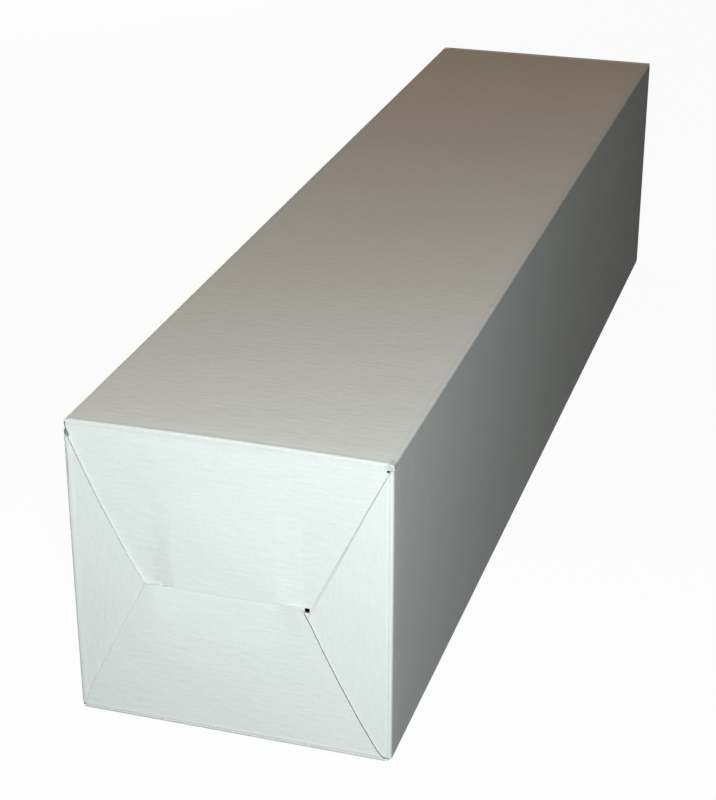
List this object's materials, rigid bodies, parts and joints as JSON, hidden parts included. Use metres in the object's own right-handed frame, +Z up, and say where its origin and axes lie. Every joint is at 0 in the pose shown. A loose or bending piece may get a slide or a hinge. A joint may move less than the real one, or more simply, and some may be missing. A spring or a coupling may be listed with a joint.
{
  "type": "mailing tube",
  "caption": "Square white paperboard mailing tube with an interlocked flap end and a hinged tuck-in lid at the other.",
  "frame": {"origin": "centre of the tube's length and width on the face it lies on", "axes": "+Y along the tube from the interlocked end to the lid, +Z up out of the face it lies on, +X to the right seen from the interlocked end"},
  "size_m": [0.102, 0.442, 0.101],
  "materials": {
    "white_board": "matte"
  },
  "bodies": {
    "tube": {"tube_body": "white_board"},
    "lid": {"tuck_lid": "white_board"}
  },
  "joints": [
    {"name": "lid_hinge", "type": "hinge", "parent": "tube", "child": "lid", "pos_m": [0, 0.2207, 0.1007], "axis": [1, 0, 0], "range_deg": [0, 180]}
  ]
}
